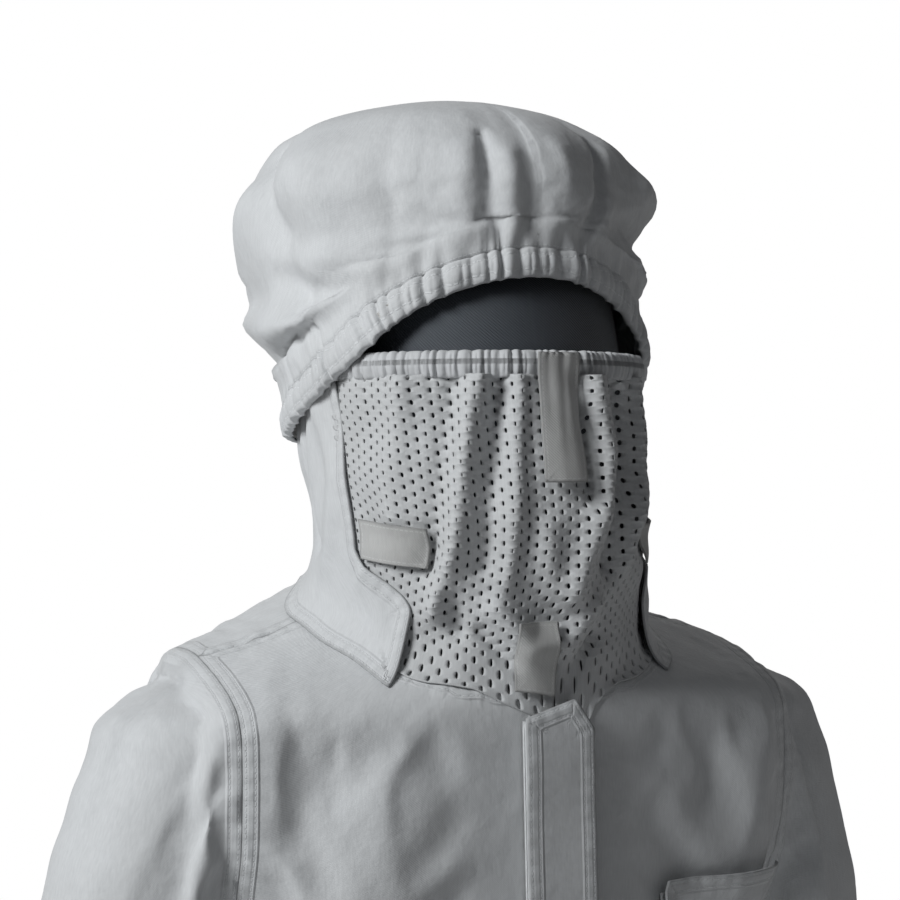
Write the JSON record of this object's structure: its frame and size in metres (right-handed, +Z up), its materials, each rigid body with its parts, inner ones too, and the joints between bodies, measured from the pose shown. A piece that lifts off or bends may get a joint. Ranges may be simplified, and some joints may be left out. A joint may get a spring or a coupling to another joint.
{
  "type": "beekeeping suit",
  "caption": "Hooded white cotton beekeeping coverall with gathered crown, perforated face veil, black inner screen, front zip and storm flap, as worn.",
  "frame": {"origin": "middle of the neck base, level with the wearer's shoulders, on the suit's middle plane", "axes": "+Z up, -Y out of the wearer's chest, +X to the wearer's left"},
  "size_m": [0.6984, 0.3516, 1.8033],
  "materials": {
    "cotton": "matte plain-weave cotton",
    "veil_net": "matte perforated polyester",
    "tape": "matte twill tape",
    "black_net": "fine black netting with a soft sheen",
    "elastic": "woven elastic",
    "boning": "satin",
    "zip_metal": "satin brass"
  },
  "bodies": {
    "suit": {"hood_side_left": "cotton", "hood_side_right": "cotton", "back_panel": "cotton", "front_panel_left": "cotton", "front_panel_right": "cotton", "trouser_front_left": "cotton", "trouser_front_right": "cotton", "trouser_back_left": "cotton", "trouser_back_right": "cotton", "sleeve_left": "cotton", "sleeve_right": "cotton", "cuff_casing_left": "cotton", "cuff_casing_right": "cotton", "hem_casing_left": "cotton", "hem_casing_right": "cotton", "waist_casing": "cotton", "chest_pocket": "cotton", "hip_pocket_left": "cotton", "hip_pocket_right": "cotton", "veil_mesh": "veil_net", "side_pad_left": "tape", "side_pad_right": "tape", "chin_pad": "tape", "upper_screen_tab_left": "tape", "upper_screen_tab_right": "tape", "lower_screen_tab_left": "tape", "lower_screen_tab_right": "tape", "neck_binding": "tape", "hang_loop": "tape", "zip_tape_left": "tape", "zip_tape_right": "tape", "face_screen": "black_net", "cuff_elastic_left": "elastic", "cuff_elastic_right": "elastic", "hem_elastic_left": "elastic", "hem_elastic_right": "elastic", "waist_elastic": "elastic", "upper_hoop": "boning", "lower_hoop": "boning", "zip_chain": "zip_metal", "zip_bottom_stop": "zip_metal"},
    "crown": {"hood_crown": "cotton", "brim_casing": "cotton", "brim_elastic": "elastic"},
    "veil_band": {"veil_top_casing": "veil_net", "veil_elastic": "elastic", "nose_tape": "tape"},
    "zip_runner": {"zip_slider": "zip_metal", "zip_pull": "zip_metal"},
    "storm_flap": {"storm_flap": "cotton"},
    "pocket_flap": {"chest_pocket_flap": "cotton"}
  },
  "joints": [
    {"name": "crown_tip_back", "type": "hinge", "parent": "suit", "child": "crown", "pos_m": [0, 0.1495, 0.113], "axis": [-1, 0, 0], "range_deg": [0, 100]},
    {"name": "veil_pull_down", "type": "slide", "parent": "suit", "child": "veil_band", "axis": [0, 0, -1], "range_m": [0, 0.055], "deforming": ["veil_mesh"]},
    {"name": "zip_slide", "type": "slide", "parent": "suit", "child": "zip_runner", "axis": [0, -0.047, -0.9989], "range_m": [0, 0.56]},
    {"name": "storm_flap_open", "type": "hinge", "parent": "suit", "child": "storm_flap", "pos_m": [-0.0225, -0.1366, -0.34465], "axis": [0, -0.047, -0.9989], "range_deg": [0, 100]},
    {"name": "pocket_flap_lift", "type": "hinge", "parent": "suit", "child": "pocket_flap", "pos_m": [0.1276, -0.1125, -0.157], "axis": [-0.9396, -0.3422, 0], "range_deg": [0, 150]}
  ]
}
